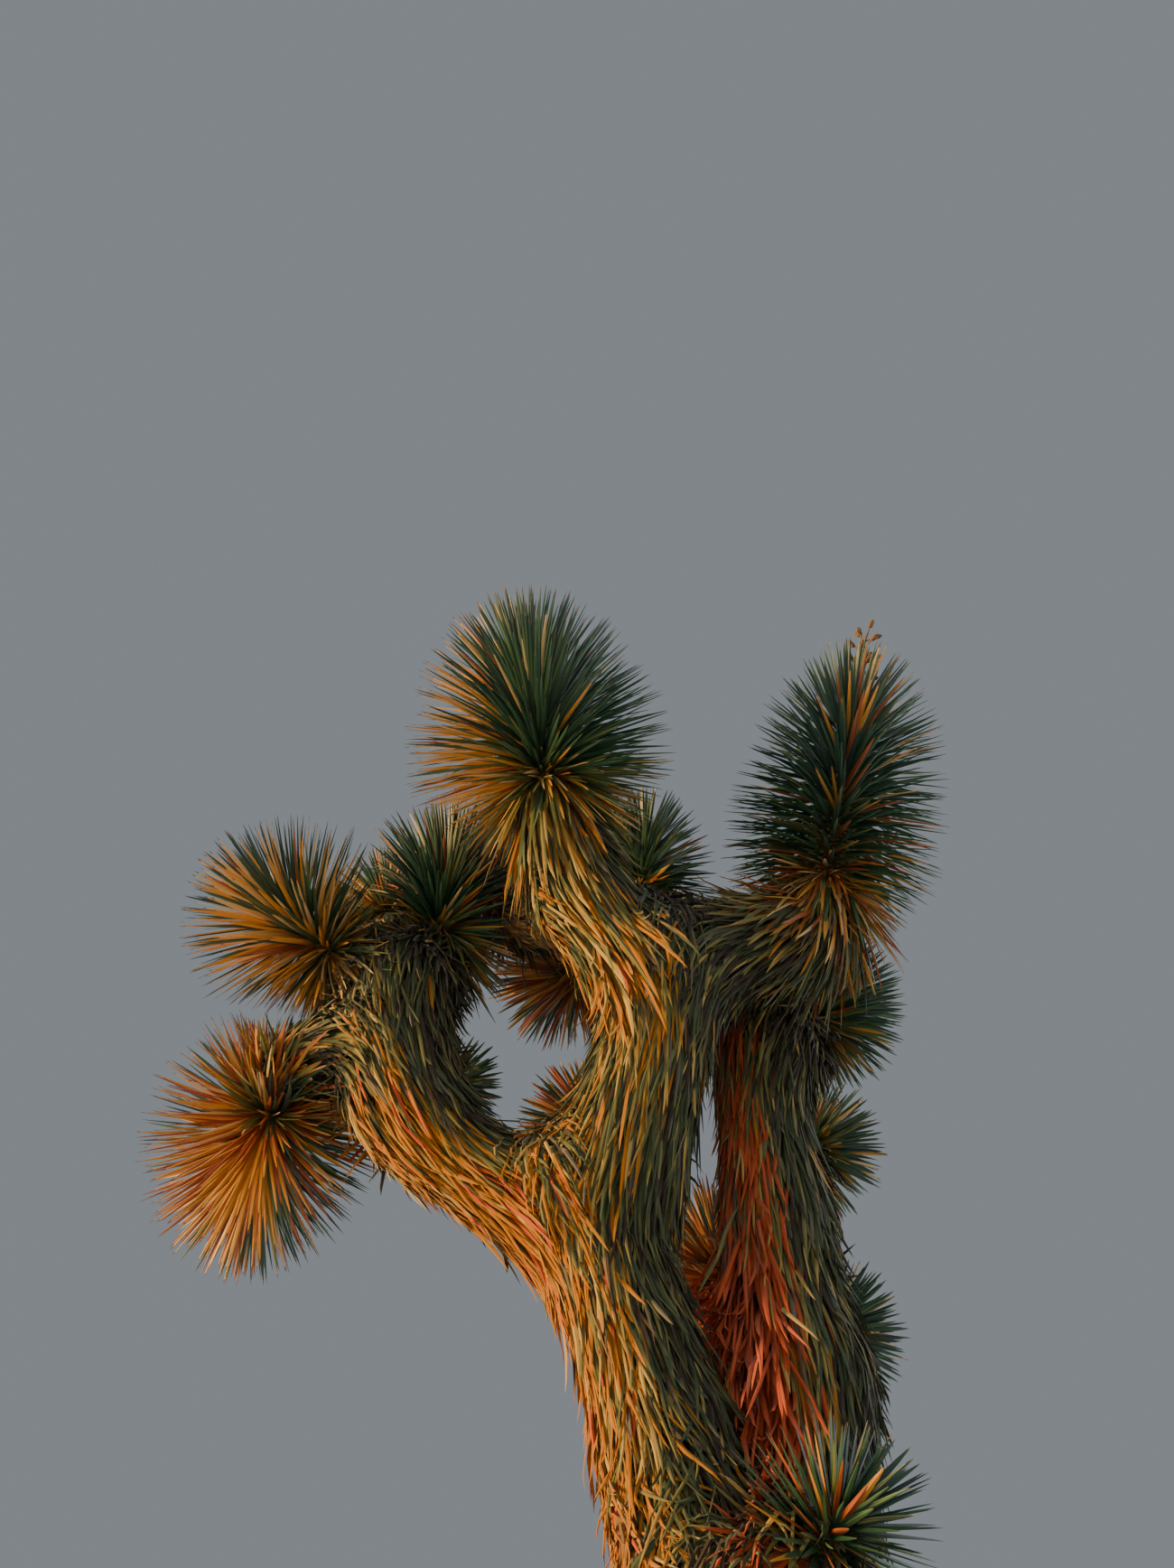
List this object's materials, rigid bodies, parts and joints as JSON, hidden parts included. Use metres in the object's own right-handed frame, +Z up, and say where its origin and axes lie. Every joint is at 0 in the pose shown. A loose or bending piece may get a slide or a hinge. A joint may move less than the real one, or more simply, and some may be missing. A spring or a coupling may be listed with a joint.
{
  "type": "joshua tree",
  "caption": "Whole joshua tree: leaning trunk shaggy with dead leaves, thick forking boughs, and round heads of stiff dagger leaves in green and gold at their tips.",
  "frame": {"origin": "middle of the flat cut under the trunk, at ground level", "axes": "+Z up the tree; the picture is taken from the -Y side, and +X is to its right"},
  "size_m": [1.9844, 1.9401, 4.389],
  "materials": {
    "thatched_trunk": "fibrous bark at the foot, grey-brown dead leaves above",
    "thatched_bough": "dry straw-coloured dead leaves hanging along the wood",
    "green_leaves": "stiff waxy green leaves with pale edges",
    "golden_leaves": "stiff leaves dried to gold"
  },
  "bodies": {
    "root": {"trunk": "thatched_trunk", "right_stem": "thatched_bough", "left_bough": "thatched_bough", "left_bough_upper": "thatched_bough", "centre_bough": "thatched_bough", "bough_top": "thatched_bough", "bough_right": "thatched_bough", "bough_leader": "thatched_bough", "bough_under_fork": "thatched_bough", "bough_far_middle": "thatched_bough", "bough_left": "thatched_bough", "bough_low_left": "thatched_bough", "bough_inner_left": "thatched_bough", "bough_far_left": "thatched_bough", "bough_elbow": "thatched_bough", "bough_back_middle": "thatched_bough", "bough_back_gap": "thatched_bough", "bough_right_stem": "thatched_bough", "bough_back_right": "thatched_bough", "bough_low_right": "thatched_bough", "bough_trunk_shoot": "thatched_bough", "head_top": "green_leaves", "head_right": "green_leaves", "head_leader": "green_leaves", "head_under_fork": "green_leaves", "head_far_middle": "green_leaves", "head_left": "golden_leaves", "head_low_left": "golden_leaves", "head_inner_left": "green_leaves", "head_far_left": "golden_leaves", "head_elbow": "green_leaves", "head_back_middle": "green_leaves", "head_back_gap": "green_leaves", "head_right_stem": "green_leaves", "head_back_right": "green_leaves", "head_low_right": "green_leaves", "head_trunk_shoot": "green_leaves"}
  },
  "joints": []
}
